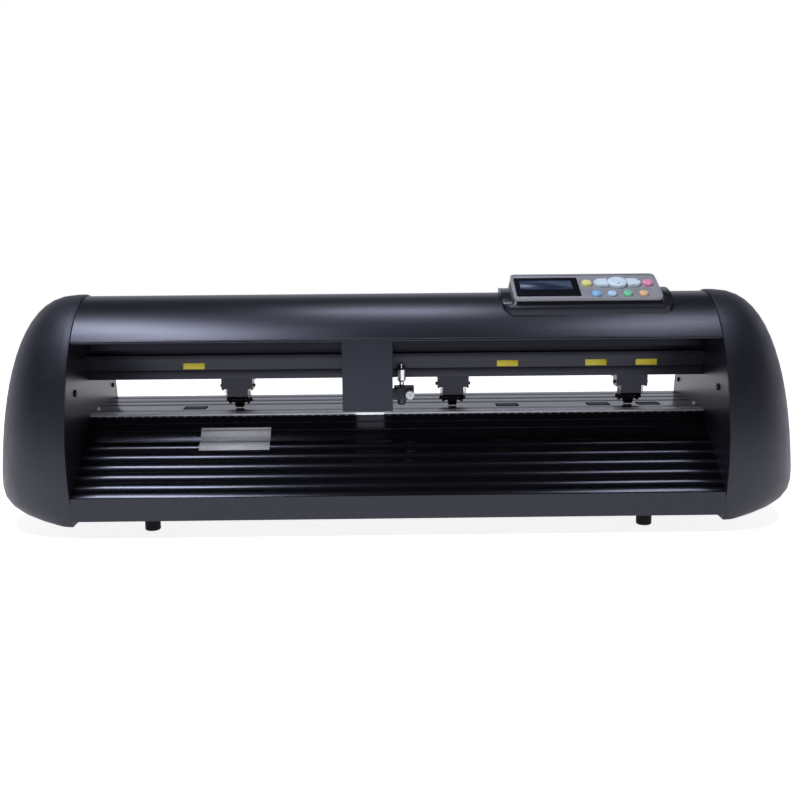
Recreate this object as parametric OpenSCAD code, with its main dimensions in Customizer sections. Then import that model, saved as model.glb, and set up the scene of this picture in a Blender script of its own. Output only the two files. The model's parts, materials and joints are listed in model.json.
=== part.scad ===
// Desktop roll vinyl cutter. Millimetres, +Z up, front faces -Y.
// Origin: on the standing surface, midway across the width and the depth.

/* [Overall] */
// Clear width between the two side plates
opening_w = 725; // [700:5:760]
// Half depth of the machine at its widest height
half_depth = 118; // [116:1:124]
// Top of the end caps above the standing surface
top_z = 263; // [260:1:268]
// Height of the caps' underside, which is the part of the feet that shows
cap_bottom_z = 12; // [10:1:14]
// How far an end cap reaches out past the side plate
cap_reach_x = 101.5; // [98:0.5:110]
// Wall thickness of the moulded end caps
cap_wall = 3; // [2.5:0.5:4]

/* [Media path] */
// Height of the platen's top face
platen_z = 122.8; // [122:0.1:124]
// Front edge of the platen
platen_front_y = -18.4; // [-19:0.1:-18]
// Rear edge of the platen
platen_rear_y = 115; // [112:1:115]
// Height of the beam's underside
beam_bottom_z = 162; // [161:0.5:163]
// Height of the beam's top face
beam_top_z = 214; // [213:0.5:215]

/* [Drive] */
// Position of the grit shaft's axis, front to back
grit_y = 23.5; // [23:0.5:24]
// Radius of the grit rollers
grit_r = 11; // [10.5:0.5:11]
// Radius of the grit shaft
shaft_r = 5; // [4:0.5:6]
// Radius of the pinch rollers
pinch_r = 9.5; // [9:0.1:9.7]
// Gap between a lowered pinch roller and the platen
pinch_gap = 0.7; // [0.5:0.1:1.5]

/* [Control panel] */
// Centre of the control panel, left to right
panel_x = 218; // [180:1:225]
// Tilt of the control panel's face towards the user
panel_tilt = 25; // [20:1:27]
// Height that a key stands above the panel's face
key_proud = 3.5; // [2.5:0.5:4.5]

/* [Hidden] */

EPS = 0.01;
half_w = opening_w / 2;
run_gap = 0.05;        // radial clearance of a running fit
free_gap = 0.4;        // gap between faces that pass each other

// End profile: height of greatest depth, exponent of the arch, tuck-in at the foot
waist_z = 90;
arch_n = 1.9;
foot_tuck = 14.4;
// Cap: height of greatest reach and the exponent of its plan section
widest_z = 55;
plan_n = 2.3;
cap_rings = 24;
cap_steps = 36;

plate_t = 3;
plate_inset = cap_wall + 0.6;
cover_inset = 2;
cover_t = 2.2;
lip_y = 75;
// Screws through each side plate: Y, Z and the radius of the head
plate_screws = [[-67, 157, 4], [-38.7, 191.7, 3], [93.6, 141.2, 3]];

platen_t = 3;
platen_under = platen_z - platen_t;
grit_z = platen_z + 0.3 - grit_r;
grit_xs = [-245, 134, 245, 306];
grit_w = 24;

tray_z = 20;
tray_t = 2;
foot_r = 8.75;
foot_x = 281;
foot_y = 74;

// Beam section
beam_front_y = -3;
beam_rear_y = 42;
beam_wall = 3;
shelf_y = -14;
shelf_z = [182.5, 192];

// Carriage parts
rail_z = 204;
belt_y = -4;
belt_r = 8;
belt_t = 1.4;
belt_z = 216;
belt_w = 6;
belt_end_x = half_w + 25.5;
cover_x = [-63.5, -5.5];
cover_y = [-44, -22];
cover_z = [128.5, 222];
sheet_t = 1.5;
rod_xs = [-27, -11];
rod_y0 = -26;
plunger_xy = [-21, -34];
slider_z = [139, 163];
tool_x = 5;
tool_y = -10.5;
tool_block_x = [-4, 19.5];
tool_block_z = [138.6, 153];
knob_xz = [14.5, 144.8];

// Pinch units
pinch_xs = [-191, 67, 281];
pinch_pivot = [12, 152];
pinch_axis_z = platen_z + pinch_gap + pinch_r;

// Feed drive
motor_yz = [-6, 60];
feed_pulley_r = 24;
motor_pulley_r = 8;
feed_x = half_w + 7;

// Sockets in the rear panel
port_x = 200;
inlet_x = 318;
inlet_z = 44;
rocker_pivot = [inlet_x - 15.5, 109.5];
rocker_tilt = 9;

// Control panel
panel_mid = [panel_x, -21.8, 268.8];
bezel_w = 169.5;
bezel_h = 57.4;
lcd_x = -44.4;
lcd_y = -0.8;
lcd_size = [74, 44.6];
board_z = -9.2;
// Round keys: name order, centre on the panel's face and radius
key_spots = [[1.9, 5, 6], [72.7, 5, 6],
             [9.2, -20, 5.1], [27.2, -20, 5.1], [45.2, -20, 5.1], [63.2, -20, 5.1]];
pad_x = 37.3;
pad_y = 5;
pad_r = 11;
bar_size = [54, 16];
bar_stem_x = 20;

// Half depth of the end profile at height z, drawn in by inset all round
function profile_y(z, inset) =
    let(u = (z - waist_z) / (top_z - inset - waist_z),
        w = (waist_z - (z - inset)) / (waist_z - cap_bottom_z))
    z > waist_z ? (half_depth - inset) * pow(max(0, 1 - pow(u, arch_n)), 1 / arch_n)
                : half_depth - inset - foot_tuck * w * w;

// Height of the arch at a distance y from the middle
function arch_z(y, inset) =
    waist_z + (top_z - inset - waist_z)
    * pow(1 - pow(abs(y) / (half_depth - inset), arch_n), 1 / arch_n);

// How far the cap reaches outwards at height z
function reach_x(z, inset) =
    let(u = (z - widest_z) / (top_z - inset - widest_z),
        w = (widest_z - (z - inset)) / (widest_z - 10))
    (cap_reach_x - inset) * (z > widest_z ? (1 - 0.2 * u) * pow(max(0, 1 - pow(u, 3.2)), 1 / 3)
                                          : sqrt(1 - pow(max(0, w), 3.5)));

function ring_z(k, inset) =
    let(low = cap_bottom_z + inset, high = top_z - inset)
    low + (high - low) * (1 - cos(177.3 * k / cap_rings)) / 2;

function signed_pow(v, n) = sign(v) * pow(abs(v), n);

function ring_points(k, inset) =
    let(z = ring_z(k, inset), d = profile_y(z, inset), r = reach_x(z, inset))
    [for (j = [0:cap_steps]) let(t = -90 + 180 * j / cap_steps)
        [j == 0 || j == cap_steps ? 0 : r * pow(cos(t), 2 / plan_n), d * signed_pow(sin(t), 2 / plan_n), z]];

// Outline of the end profile, from the foot at the front over the top to the foot at the back
function profile_outline(inset, steps) =
    let(front = [for (k = [0:steps])
        let(z = ring_z(k * cap_rings / steps, inset))
        [-profile_y(z, inset), z]])
    concat(front, [for (k = [steps:-1:0]) [-front[k][0], front[k][1]]]);

// A section drawn in (Y, Z), extruded along X between two stations
module along_x(x0, x1) {
    translate([x0, 0, 0])
        rotate([90, 0, 90])
            linear_extrude(x1 - x0)
                children();
}

// A cylinder along X through (y, z)
module rod_x(x0, x1, y, z, r) {
    translate([x0, y, z])
        rotate([0, 90, 0])
            cylinder(h = x1 - x0, r = r, $fn = 48);
}

// A cylinder along Y through (x, z)
module rod_y(y0, y1, x, z, r) {
    translate([x, y0, z])
        rotate([-90, 0, 0])
            cylinder(h = y1 - y0, r = r, $fn = 48);
}

module rod_z(z0, z1, x, y, r) {
    translate([x, y, z0])
        cylinder(h = z1 - z0, r = r, $fn = 48);
}

// A box from its low corner to its high corner
module span(low, high) {
    translate(low)
        cube(high - low);
}

// A box with round corners seen along Z
module round_box(low, high, r) {
    size = high - low;
    translate(low)
        linear_extrude(size[2])
            union() {
                translate([r, 0]) square([size[0] - 2 * r, size[1]]);
                translate([0, r]) square([size[0], size[1] - 2 * r]);
                for (x = [r, size[0] - r])
                    for (y = [r, size[1] - r])
                        translate([x, y]) circle(r = r, $fn = 32);
            }
}

// ---------- Casing ----------

module cap_shell() {
    row = cap_steps + 1;
    inner = row * (cap_rings + 1);
    points = concat([for (k = [0:cap_rings]) each ring_points(k, 0)],
                    [for (k = [0:cap_rings]) each ring_points(k, cap_wall)]);
    outer_faces = [for (k = [0:cap_rings - 1]) for (j = [0:cap_steps - 1]) let(a = k * row + j)
        each [[a, a + row, a + row + 1], [a, a + row + 1, a + 1]]];
    inner_faces = [for (f = outer_faces) [f[2] + inner, f[1] + inner, f[0] + inner]];
    front_rim = [for (k = [0:cap_rings - 1]) let(a = k * row)
        [a + row, a, a + inner, a + row + inner]];
    back_rim = [for (k = [0:cap_rings - 1]) let(a = k * row + cap_steps)
        [a + row + inner, a + inner, a, a + row]];
    last = cap_rings * row;
    ends = [
        [last + cap_steps, last, last + inner, last + cap_steps + inner],
        [cap_steps + inner, inner, 0, cap_steps],
        [for (j = [cap_steps:-1:0]) last + j],
        [for (j = [0:cap_steps]) last + inner + j],
        [for (j = [0:cap_steps]) j],
        [for (j = [cap_steps:-1:0]) inner + j]];
    translate([half_w, 0, 0])
        polyhedron(points, concat(outer_faces, inner_faces, front_rim, back_rim, ends), convexity = 6);
}

module right_end_cap() {
    color([0.13, 0.13, 0.16]) cap_shell();
}

module left_end_cap() {
    color([0.13, 0.13, 0.16]) mirror([1, 0, 0]) cap_shell();
}

// The plate that closes an end cap, with the holes both ends share
module end_plate() {
    difference() {
        along_x(half_w, half_w + plate_t)
            polygon(profile_outline(plate_inset, 40));
        rod_x(half_w - 1, half_w + plate_t + 1, grit_y, grit_z, 13);
        span([half_w - 1, belt_y - 14, belt_z - 4], [half_w + plate_t + 1, belt_y + 14, belt_z + 10]);
        for (spot = plate_screws)
            rod_x(half_w - 1, half_w + plate_t + 1, spot[0], spot[1], 1.7);
    }
}

module right_side_plate() {
    color([0.08, 0.08, 0.1])
        union() {
            difference() {
                end_plate();
                rod_x(half_w - 1, half_w + plate_t + 1, motor_yz[0], motor_yz[1], 19.3);
            }
            difference() {
                span([half_w + plate_t, belt_y - 23, 209], [half_w + 48, belt_y + 23, 212]);
                rod_z(208, 213, belt_end_x, belt_y, 11.3);
            }
        }
}

module left_side_plate() {
    color([0.08, 0.08, 0.1]) mirror([1, 0, 0]) end_plate();
}

module top_cover() {
    steps = 44;
    ys = [for (i = [0:steps]) lip_y * (2 * i / steps - 1)];
    outer = [for (y = ys) [y, arch_z(y, cover_inset)]];
    inner = [for (i = [steps:-1:0]) [ys[i], arch_z(ys[i], cover_inset + cover_t)]];
    lip_z = arch_z(lip_y, cover_inset + cover_t / 2);
    channel_ys = [-60, -22, 22, 60];
    color([0.24, 0.24, 0.3])
        difference() {
            union() {
                along_x(-half_w, half_w)
                    polygon(concat(outer, inner));
                for (y = [-lip_y, lip_y])
                    rod_x(-half_w, half_w, y, lip_z, 2);
                // screw channels under the skin
                for (y = channel_ys)
                    rod_x(-half_w, half_w, y, arch_z(y, cover_inset + cover_t) - 3.4, 4);
            }
            for (y = channel_ys)
                rod_x(-half_w - 1, half_w + 1, y, arch_z(y, cover_inset + cover_t) - 3.4, 1.7);
        }
}

module base_tray() {
    color([0.1, 0.1, 0.12])
        difference() {
            span([-half_w, -108.5, tray_z], [half_w, 110, tray_z + tray_t]);
            for (x = [-foot_x, foot_x])
                for (y = [-foot_y, foot_y])
                    rod_z(tray_z - 1, tray_z + tray_t + 1, x, y, 2.2);
        }
}

module rubber_feet() {
    color([0.06, 0.06, 0.07])
        for (x = [-foot_x, foot_x])
            for (y = [-foot_y, foot_y])
                translate([x, y, 0])
                    rotate_extrude($fn = 48)
                        polygon([[4.5, 0], [foot_r - 1, 0], [foot_r, 1], [foot_r, tray_z],
                                 [2.2, tray_z], [2.2, 6], [4.5, 6]]);
}

// A pan-head screw whose head sits on z = 0 and whose shank points down
module pan_screw(head_r, head_h, shank_r, length) {
    difference() {
        union() {
            rotate_extrude($fn = 32)
                polygon([[0, 0], [head_r, 0], [head_r, head_h * 0.5], [head_r * 0.75, head_h], [0, head_h]]);
            translate([0, 0, -length]) cylinder(h = length + EPS, r = shank_r, $fn = 24);
        }
        for (a = [0, 90])
            rotate([0, 0, a])
                translate([-head_r * 0.55, -0.4, head_h - 0.8])
                    cube([head_r * 1.1, 0.8, 1.2]);
    }
}

module machine_screws() {
    color([0.55, 0.55, 0.58]) {
        for (x = [-foot_x, foot_x])
            for (y = [-foot_y, foot_y])
                translate([x, y, 6])
                    mirror([0, 0, 1])
                        pan_screw(4, 2.6, 2, 18);
        for (s = [-1, 1])
            for (spot = plate_screws)
                translate([s * half_w, spot[0], spot[1]])
                    rotate([0, -s * 90, 0])
                        pan_screw(spot[2], 2, 1.5, 2.8);
    }
}

// ---------- Media path ----------

// Section of one rounded rib from a up to, but not including, b
function bump(a, b, rise, steps) =
    let(d = b - a, n = [-d[1], d[0]] / norm(d))
    [for (i = [0:steps - 1]) let(t = i / steps) a + d * t - n * rise * 4 * t * (1 - t)];

module front_apron() {
    ribs = 5;
    top = [-37, 95];
    foot = [-111, 44];
    first = 0.03;
    pitch = 0.171;
    ledge = 3.4;
    boss_y = -105.3;
    boss_zs = [27, 37];
    // each rib is a narrow level bead and, below it, a broad bump that faces forwards and up
    ramp = [for (i = [0:ribs])
        let(t = first + i * pitch, a = top + (foot - top) * t, b = a - [ledge, 0],
            c = top + (foot - top) * (t + pitch))
        each i < ribs ? concat(bump(a, b, 0.7, 5), bump(b, c, 1.5, 12)) : concat(bump(a, b, 0.7, 5), [b])];
    color([0.14, 0.14, 0.17])
        along_x(-half_w, half_w)
            difference() {
                union() {
                    polygon(concat(
                        [[-4, platen_under], [platen_front_y, platen_under], [-21.5, 113.4], [-24, 112.4],
                         [-28, 105.6], [-30.5, 104.6], [-34, 98.5]],
                        ramp,
                        [[-110, 47.4], [-111, 46], [-111, tray_z], [-108.5, tray_z], [-108.5, 42.4],
                         [-35.6, 92.6], [-17, platen_under - 3], [-4, platen_under - 3]]));
                    for (z = boss_zs)
                        translate([boss_y, z]) circle(r = 4, $fn = 32);
                }
                for (z = boss_zs)
                    translate([boss_y, z]) circle(r = 1.7, $fn = 24);
            }
}

module rear_panel() {
    color([0.14, 0.14, 0.17])
        difference() {
            along_x(-half_w, half_w)
                union() {
                    polygon([[112.5, tray_z], [112.5, platen_under], [98, platen_under],
                             [98, platen_under - 3], [110, platen_under - 3], [110, tray_z]]);
                    for (z = [72, 86, 100])
                        translate([112, z]) circle(r = 2.6, $fn = 24);
                }
            span([inlet_x - 28, 105, inlet_z - 12], [inlet_x + 28, 118, inlet_z + 12]);
            span([port_x - 16, 105, 28.2], [port_x + 16, 118, 42]);
            span([port_x + 24, 105, 28.2], [port_x + 37, 118, 40.5]);
        }
}

module platen() {
    color([0.45, 0.46, 0.52])
        difference() {
            along_x(-half_w, half_w)
                difference() {
                    polygon(concat([[platen_front_y, platen_under], [platen_front_y, platen_z],
                                    [platen_rear_y, platen_z], [platen_rear_y, platen_under]],
                                   [for (y = [90, 46, 4]) each
                                       [[y + 2, platen_under], [y + 2, platen_under - 12],
                                        [y, platen_under - 12], [y, platen_under]]]));
                    for (y = [43, 68, 95])
                        translate([y - 1.2, platen_z - 1]) square([2.4, 2]);
                    translate([-17.4, platen_z - 1.2]) square([16, 2]);
                }
            for (x = grit_xs)
                span([x - 14, grit_y - 10.5, platen_under - 1], [x + 14, grit_y + 10.5, platen_z + 1]);
        }
}

module cutting_strip() {
    color([0.93, 0.93, 0.96])
        span([-half_w, -17.4, platen_z - 1.2], [half_w, -1.4, platen_z + 0.1]);
}

module beam() {
    slot_z = beam_bottom_z + 3;
    color([0.18, 0.18, 0.22])
        along_x(-half_w, half_w)
            difference() {
                polygon([[beam_front_y, beam_bottom_z], [beam_rear_y, beam_bottom_z],
                         [beam_rear_y, beam_top_z], [beam_front_y, beam_top_z],
                         [beam_front_y, shelf_z[1]], [shelf_y, shelf_z[1]],
                         [shelf_y, shelf_z[0]], [beam_front_y, shelf_z[0]],
                         [beam_front_y, 173.5], [beam_front_y + 1.5, 173.5],
                         [beam_front_y + 1.5, 172], [beam_front_y, 172]]);
                // two hollow chambers
                translate([0, beam_bottom_z + 10])
                    square([39, 17]);
                translate([0, 192])
                    square([39, 19]);
                // T-slot that carries the pinch units
                translate([14.5, beam_bottom_z - 1])
                    square([11, 5]);
                translate([11, slot_z])
                    square([18, 4]);
            }
}

module linear_rail() {
    color([0.35, 0.35, 0.38])
        along_x(-half_w + 4, half_w - 4)
            polygon([[beam_front_y, rail_z - 6], [beam_front_y, rail_z + 6], [-6.5, rail_z + 6],
                     [-7.5, rail_z + 5], [-8.5, rail_z + 6], [-11, rail_z + 6],
                     [-11, rail_z - 6], [-8.5, rail_z - 6], [-7.5, rail_z - 5], [-6.5, rail_z - 6]]);
}

// ---------- Feed drive ----------

module shaft_bearings() {
    mid = half_w + 3.5;
    color([0.7, 0.7, 0.73])
        for (s = [-1, 1])
            difference() {
                rod_x(s * mid - 3.5, s * mid + 3.5, grit_y, grit_z, 13);
                rod_x(s * mid - 5, s * mid + 5, grit_y, grit_z, shaft_r + run_gap);
            }
}

module grit_shaft() {
    color([0.75, 0.75, 0.78])
        rod_x(-half_w - 9, half_w + 20, grit_y, grit_z, shaft_r);
}

module grit_rollers() {
    color([0.62, 0.62, 0.64])
        for (x = grit_xs)
            difference() {
                rod_x(x - grit_w / 2, x + grit_w / 2, grit_y, grit_z, grit_r);
                rod_x(x - grit_w, x + grit_w, grit_y, grit_z, shaft_r);
            }
}

// A toothed pulley along Z with flanges, of outer radius r, face width w
module pulley(r, w, bore, teeth) {
    difference() {
        union() {
            cylinder(h = w, r = r, $fn = 64);
            for (z = [-1.2, w])
                translate([0, 0, z]) cylinder(h = 1.2, r = r + 2.2, $fn = 64);
        }
        translate([0, 0, -2]) cylinder(h = w + 4, r = bore, $fn = 32);
        for (i = [0:teeth - 1])
            rotate([0, 0, i * 360 / teeth])
                translate([r - 0.6, -0.5, 0.3])
                    cube([1, 1, w - 0.6]);
    }
}

module feed_pulley() {
    color([0.72, 0.73, 0.76])
        translate([feed_x + 2, grit_y, grit_z])
            rotate([0, 90, 0])
                pulley(feed_pulley_r, 8, shaft_r, 48);
}

module feed_motor_pulley() {
    color([0.72, 0.73, 0.76]) {
        translate([feed_x + 2, motor_yz[0], motor_yz[1]])
            rotate([0, 90, 0])
                pulley(motor_pulley_r, 8, 3.2, 16);
        rod_x(half_w - 12, feed_x + 13, motor_yz[0], motor_yz[1], 3.2);
    }
}

// A square stepping motor along Z, its front face at z = 0, with a bore for its shaft
module stepper(size, length, boss_r, boss_h, bore) {
    difference() {
        union() {
            intersection() {
                translate([-size / 2, -size / 2, -length]) cube([size, size, length]);
                rotate([0, 0, 45])
                    translate([-size * 0.66, -size * 0.66, -length])
                        cube([size * 1.32, size * 1.32, length]);
            }
            cylinder(h = boss_h, r = boss_r, $fn = 48);
        }
        translate([0, 0, -16]) cylinder(h = 20 + boss_h, r = bore, $fn = 32);
        for (z = [-length * 0.78, -length * 0.22])
            translate([0, 0, z])
                difference() {
                    cube([size + 2, size + 2, 1], center = true);
                    cube([size - 2, size - 2, 2], center = true);
                }
    }
}

module feed_motor() {
    color([0.1, 0.1, 0.11])
        translate([half_w, motor_yz[0], motor_yz[1]])
            rotate([0, 90, 0])
                stepper(57, 54, 19, 1.6, 3.2 + run_gap);
}

// A flat belt round two pulleys, drawn in plan
module belt_loop(c0, r0, c1, r1, t, w) {
    linear_extrude(w)
        difference() {
            hull() {
                translate(c0) circle(r = r0 + t, $fn = 96);
                translate(c1) circle(r = r1 + t, $fn = 96);
            }
            hull() {
                translate(c0) circle(r = r0, $fn = 96);
                translate(c1) circle(r = r1, $fn = 96);
            }
        }
}

module feed_belt() {
    color([0.07, 0.07, 0.08])
        translate([feed_x + 3, 0, 0])
            rotate([90, 0, 90])
                belt_loop([grit_y, grit_z], feed_pulley_r + free_gap, motor_yz,
                          motor_pulley_r + free_gap, belt_t, belt_w);
}

// ---------- Carriage drive ----------

module carriage_belt() {
    color([0.07, 0.07, 0.08])
        translate([0, 0, belt_z])
            belt_loop([-belt_end_x, belt_y], belt_r, [belt_end_x, belt_y], belt_r, belt_t, belt_w);
}

module carriage_motor() {
    color([0.1, 0.1, 0.11])
        translate([belt_end_x, belt_y, 209])
            stepper(42, 38, 11, 1.8, 2.5 + run_gap);
}

module carriage_motor_pulley() {
    color([0.72, 0.73, 0.76]) {
        translate([belt_end_x, belt_y, belt_z - 0.5])
            pulley(belt_r - free_gap, belt_w + 1, 2.5, 16);
        rod_z(196, belt_z + 9, belt_end_x, belt_y, 2.5);
    }
}

module idler_bracket() {
    color([0.6, 0.6, 0.63]) {
        difference() {
            union() {
                span([-belt_end_x - 12, belt_y - 14, 206], [-half_w - plate_t, belt_y + 14, 209]);
                span([-half_w - plate_t - 3, belt_y - 14, 190], [-half_w - plate_t, belt_y + 14, 206 + EPS]);
            }
            rod_x(-half_w - plate_t - 4, -half_w - plate_t + 1, belt_y, 198, 2);
        }
        rod_z(209 - EPS, belt_z + 9, -belt_end_x, belt_y, 2.5);
        rod_z(209 - EPS, belt_z - 2.5, -belt_end_x, belt_y, 4.5);
    }
}

module idler_pulley() {
    color([0.72, 0.73, 0.76])
        translate([-belt_end_x, belt_y, belt_z - 0.5])
            pulley(belt_r - free_gap, belt_w + 1, 2.5 + run_gap, 16);
}

// ---------- Carriage ----------

module carriage_plate() {
    clamp_y = belt_y - belt_r - belt_t;
    color([0.8, 0.81, 0.83])
        difference() {
            union() {
                span([-60, -20, 124.8], [-8, -16, beam_top_z]);
                // bright foot that shows under the cover
                span([-48, -43, 124.8], [-16, -16, 127.8]);
                // ears that hold the two lift rods
                for (z = [130, 169])
                    span([-31, -30, z], [-7, -20 + EPS, z + 3]);
                for (x = rod_xs)
                    rod_z(130, 172, x, rod_y0, 2);
                // belt clamp
                span([-43, -20, beam_top_z - EPS], [-27, -16, 226]);
                span([-43, -16 - EPS, beam_top_z + 1], [-27, -9, 226]);
            }
            span([-44, clamp_y - free_gap, belt_z - free_gap],
                 [-26, clamp_y + belt_t + free_gap, 227]);
        }
}

module carriage_cover() {
    low = [cover_x[0], cover_y[0], cover_z[0]];
    high = [cover_x[1], cover_y[1], cover_z[1]];
    color([0.2, 0.2, 0.25])
        difference() {
            span(low, high);
            span([low[0] + sheet_t, low[1] + sheet_t, low[2] - 1],
                 [high[0] - sheet_t, high[1] + 1, high[2] - sheet_t]);
            // notch that lets the tool arm out
            span([high[0] - 5, -35, low[2] - 1], [high[0] + 1, high[1] + 1, 166]);
            for (z = [178, 206])
                rod_x(high[0] - 5, high[0] + 1, -33, z, 1.6);
        }
}

module rail_block() {
    color([0.66, 0.67, 0.7])
        along_x(-54, -14)
            polygon([[-16, 193.5], [-16, 214], [-4.5, 214], [-4.5, rail_z + 6 + free_gap],
                     [-11 - free_gap, rail_z + 6 + free_gap], [-11 - free_gap, rail_z - 6 - free_gap],
                     [-4.5, rail_z - 6 - free_gap], [-4.5, 193.5]]);
}

module lift_solenoid() {
    color([0.62, 0.6, 0.55])
        difference() {
            span([-34, -41, 175], [-8, -20, 206]);
            rod_z(170, 197, plunger_xy[0], plunger_xy[1], 3.4);
            span([-35, -42, 180], [-32, -24, 201]);
        }
}

module tool_holder() {
    color([0.12, 0.12, 0.14])
        difference() {
            union() {
                span([-31, -38, slider_z[0]], [-7.5, -22, slider_z[1]]);
                span([-8, -33, 140], [0, -22, tool_block_z[1] - 1]);
                round_box([tool_block_x[0], -24, tool_block_z[0]],
                          [tool_block_x[1], -4.6, tool_block_z[1]], 2);
                rod_z(slider_z[1] - EPS, 190, plunger_xy[0], plunger_xy[1], 3);
            }
            for (x = rod_xs)
                rod_z(slider_z[0] - 1, slider_z[1] + 1, x, rod_y0, 2 + run_gap);
            rod_z(130, 160, tool_x, tool_y, 5.3 + run_gap);
            rod_y(-25, -14, knob_xz[0], knob_xz[1], 1.5 + run_gap);
        }
}

module blade_holder() {
    color([0.85, 0.85, 0.87])
        translate([tool_x, tool_y, 0])
            difference() {
                rotate_extrude($fn = 48)
                    polygon([[0, 130.5], [3.4, 130.5], [4.9, 132], [5.3, 138.6], [5.3, 149.5], [2.9, 150.5],
                             [2.9, 158], [5.2, 160], [5.2, 172.4], [4.4, 173.3], [0.8, 173.3],
                             [0.8, 179], [0, 179.2]]);
                translate([0, 0, 130]) cylinder(h = 10, r = 0.5, $fn = 24);
            }
}

module blade() {
    color([0.7, 0.72, 0.75])
        translate([tool_x, tool_y, 0])
            rotate_extrude($fn = 24)
                polygon([[0, 127.5], [0.5, 128.6], [0.5, 140], [0, 140]]);
}

module clamp_knob() {
    color([0.93, 0.93, 0.93])
        translate([knob_xz[0], -31.5, knob_xz[1]])
            rotate([-90, 0, 0])
                difference() {
                    rotate_extrude($fn = 48)
                        polygon([[0, 0], [4.4, 0], [5.2, 0.8], [5.2, 6.2], [4.4, 7], [1.5, 7],
                                 [1.5, 16], [0, 16]]);
                    for (i = [0:15])
                        rotate([0, 0, i * 22.5])
                            translate([4.9, -0.35, 0.6]) cube([1, 0.7, 6]);
                }
}

// ---------- Pinch units ----------

module pinch_bracket(x) {
    top = beam_bottom_z - free_gap;
    color([0.1, 0.1, 0.12])
        difference() {
            union() {
                span([x - 18.5, 2, 156], [x + 18.5, 38, top]);
                span([x - 18.5, 2, 148.5], [x + 18.5, 4.5, 156 + EPS]);
                for (s = [-1, 1])
                    translate([x + s * 17.55, 0, 0])
                        span([-0.95, 4.5 - EPS, 147], [0.95, 22, 156 + EPS]);
                // T-shaped foot that runs in the beam's slot
                span([x - 15, 15, top - EPS], [x + 15, 25, beam_bottom_z + 3 + free_gap + EPS]);
                span([x - 15, 11.5, beam_bottom_z + 3 + free_gap],
                     [x + 15, 28.5, beam_bottom_z + 7 - free_gap]);
            }
            rod_x(x - 20, x + 20, pinch_pivot[0], pinch_pivot[1], 2 + run_gap);
        }
}

module pinch_arm(x) {
    py = pinch_pivot[0];
    pz = pinch_pivot[1];
    color([0.14, 0.14, 0.16])
        union() {
            rod_x(x - 20.5, x + 20.5, py, pz, 2);
            rod_x(x - 16, x + 16, py, pz, 3.4);
            span([x - 12.3, 5.5, 139], [x + 12.3, 8, 151]);
            for (s = [-1, 1])
                translate([x + s * 11.05, 0, 0])
                    along_x(-1.25, 1.25)
                        polygon([[5.5, 139], [5.5, 151], [9, 155], [15, 155], [20, 148], [28.5, 137],
                                 [28.5, 129], [24, 127.5], [19, 128.5], [11, 137]]);
            // lifting lever with its thumb tab
            span([x - 4, 12, 146], [x + 4, 56, 149]);
            span([x - 9, 52, 144], [x + 9, 60, 150]);
            // roller axle with its shoulders
            rod_x(x - 15.5, x + 15.5, grit_y, pinch_axis_z, 2.5);
            for (s = [-1, 1])
                rod_x(x + s * 7.8 - 2.2, x + s * 7.8 + 2.2, grit_y, pinch_axis_z, 3.8);
        }
}

module pinch_roller(x) {
    color([0.09, 0.09, 0.1])
        translate([x - 5, grit_y, pinch_axis_z])
            rotate([0, 90, 0])
                rotate_extrude($fn = 64)
                    polygon([[2.5 + run_gap, 0], [5, 0], [5, 0.6], [7.5, 0.6], [7.5, 0], [pinch_r - 0.6, 0],
                             [pinch_r, 0.6], [pinch_r, 9.4], [pinch_r - 0.6, 10], [7.5, 10],
                             [7.5, 9.4], [5, 9.4], [5, 10], [2.5 + run_gap, 10]]);
}

module pinch_bracket_1() { pinch_bracket(pinch_xs[0]); }
module pinch_bracket_2() { pinch_bracket(pinch_xs[1]); }
module pinch_bracket_3() { pinch_bracket(pinch_xs[2]); }
module pinch_arm_1() { pinch_arm(pinch_xs[0]); }
module pinch_arm_2() { pinch_arm(pinch_xs[1]); }
module pinch_arm_3() { pinch_arm(pinch_xs[2]); }
module pinch_roller_1() { pinch_roller(pinch_xs[0]); }
module pinch_roller_2() { pinch_roller(pinch_xs[1]); }
module pinch_roller_3() { pinch_roller(pinch_xs[2]); }

// ---------- Electronics ----------

module mainboard() {
    board_z = tray_z + tray_t + 5;
    top = board_z + 1.6;
    color([0.05, 0.3, 0.15])
        union() {
            span([110, 10, board_z], [270, 106, top]);
            for (x = [116, 264])
                for (y = [16, 100])
                    rod_z(tray_z + tray_t, board_z + EPS, x, y, 3);
            // serial and USB sockets at the rear edge
            span([port_x - 15.5, 94, top - EPS], [port_x + 15.5, 114, 41.4]);
            span([port_x + 24.5, 94, top - EPS], [port_x + 36.5, 113.5, 40]);
            // processor, two finned drivers, capacitors and cable headers
            span([180, 50, top - EPS], [196, 66, top + 2]);
            for (x = [126, 150]) {
                span([x, 70, top - EPS], [x + 18, 94, top + 3]);
                for (i = [0:4])
                    span([x + i * 4, 70, top + 2], [x + i * 4 + 1.6, 94, top + 14]);
            }
            for (x = [128, 144, 160])
                rod_z(top - EPS, top + 16, x, 26, 5);
            for (x = [186, 212, 238])
                span([x, 14, top - EPS], [x + 18, 20, top + 8]);
        }
}

module power_supply() {
    color([0.7, 0.71, 0.72])
        difference() {
            span([-160, -56, tray_z + tray_t], [0, 42, 60]);
            span([-1 - 16, -50, 44], [1, 36, 61]);
            for (i = [0:9])
                span([-150 + i * 12, -40, 58.5], [-146 + i * 12, 26, 61]);
        }
}

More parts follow.
